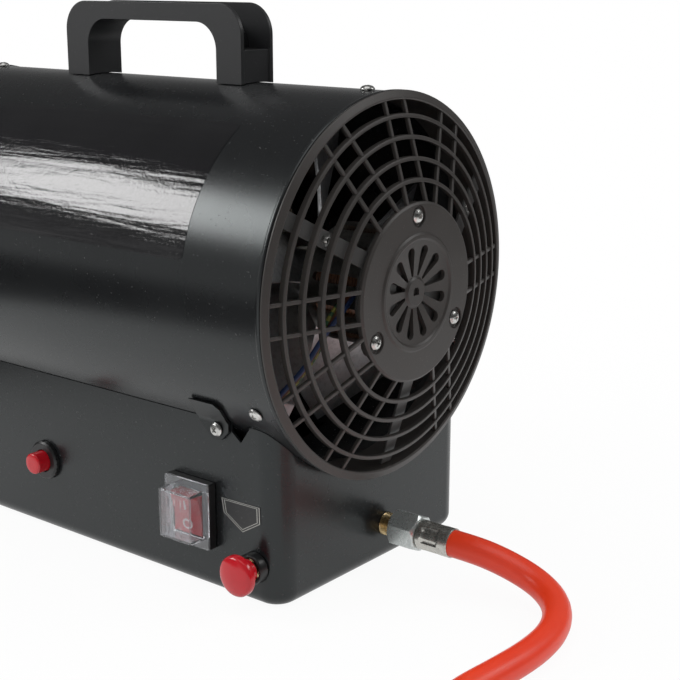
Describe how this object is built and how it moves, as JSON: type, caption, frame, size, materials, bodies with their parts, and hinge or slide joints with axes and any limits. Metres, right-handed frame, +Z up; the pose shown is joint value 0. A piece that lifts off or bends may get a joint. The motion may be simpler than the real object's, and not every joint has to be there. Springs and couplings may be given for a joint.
{
  "type": "forced air heater",
  "caption": "Portable gas-fired forced-air space heater: round drum with intake grille, fan and burner on a base housing with switch, gas button, carrying handle and coiled gas hose.",
  "frame": {"origin": "middle of the base housing's underside", "axes": "+X towards the air-intake grille, -Y towards the side with the switch and buttons, +Z up"},
  "size_m": [0.7137, 0.2787, 0.304],
  "materials": {
    "painted_steel": "satin black powder paint",
    "black_plastic": "satin",
    "red_plastic": "gloss",
    "clear_plastic": "clear gloss",
    "sheet_steel": "bright galvanised",
    "motor_steel": "zinc plated",
    "fan_aluminium": "mill finish",
    "zinc_steel": "zinc plated",
    "brass": "turned",
    "ceramic": "glazed",
    "hose_rubber": "smooth satin"
  },
  "bodies": {
    "heater": {"drum_shell": "painted_steel", "outlet_ring": "painted_steel", "base_shell": "painted_steel", "lug_rear_near": "painted_steel", "lug_front_near": "painted_steel", "lug_rear_far": "painted_steel", "lug_front_far": "painted_steel", "rear_grille": "black_plastic", "handle": "black_plastic", "switch_body": "black_plastic", "valve_nut": "black_plastic", "igniter_body": "black_plastic", "cable_gland": "black_plastic", "coil_tie_1": "black_plastic", "coil_tie_2": "black_plastic", "switch_cover": "clear_plastic", "motor_bracket": "sheet_steel", "combustion_tube": "sheet_steel", "burner_cup": "sheet_steel", "burner_disc": "sheet_steel", "burner_strap": "sheet_steel", "fan_motor": "motor_steel", "hub_screw_1": "zinc_steel", "hub_screw_2": "zinc_steel", "hub_screw_3": "zinc_steel", "handle_screw_1": "zinc_steel", "handle_screw_2": "zinc_steel", "lug_screw_rear_near": "zinc_steel", "lug_screw_front_near": "zinc_steel", "lug_screw_rear_far": "zinc_steel", "lug_screw_front_far": "zinc_steel", "drum_screw_rear_1": "zinc_steel", "drum_screw_rear_2": "zinc_steel", "drum_screw_rear_3": "zinc_steel", "drum_screw_front_1": "zinc_steel", "drum_screw_front_2": "zinc_steel", "drum_screw_front_3": "zinc_steel", "flame_probe": "zinc_steel", "swivel_nut": "zinc_steel", "hose_ferrule": "zinc_steel", "far_ferrule": "zinc_steel", "far_nut": "zinc_steel", "gas_valve": "brass", "gas_inlet": "brass", "feed_pipe": "brass", "burner_pipe": "brass", "spark_electrode": "ceramic", "hose": "hose_rubber", "hose_coil": "hose_rubber"},
    "fan": {"fan_shaft": "zinc_steel", "fan": "fan_aluminium", "fan_nut": "zinc_steel"},
    "switch_paddle": {"switch_paddle": "red_plastic"},
    "gas_button": {"valve_button": "red_plastic", "valve_stem": "zinc_steel"},
    "igniter_button": {"igniter_button": "black_plastic"}
  },
  "joints": [
    {"name": "fan_spin", "type": "hinge", "parent": "heater", "child": "fan", "pos_m": [0.095, 0, 0.1595], "axis": [1, 0, 0], "continuous": true},
    {"name": "switch_rock", "type": "hinge", "parent": "heater", "child": "switch_paddle", "pos_m": [0.0815, -0.0788, 0.0436], "axis": [1, 0, 0], "range_deg": [-16, 0]},
    {"name": "gas_button_press", "type": "slide", "parent": "heater", "child": "gas_button", "axis": [0, 1, 0], "range_m": [0, 0.004], "stiffness_N_per_m": 600, "springref_m": -0.002},
    {"name": "igniter_button_press", "type": "slide", "parent": "heater", "child": "igniter_button", "axis": [0, 1, 0], "range_m": [0, 0.005], "stiffness_N_per_m": 600, "springref_m": -0.002}
  ]
}
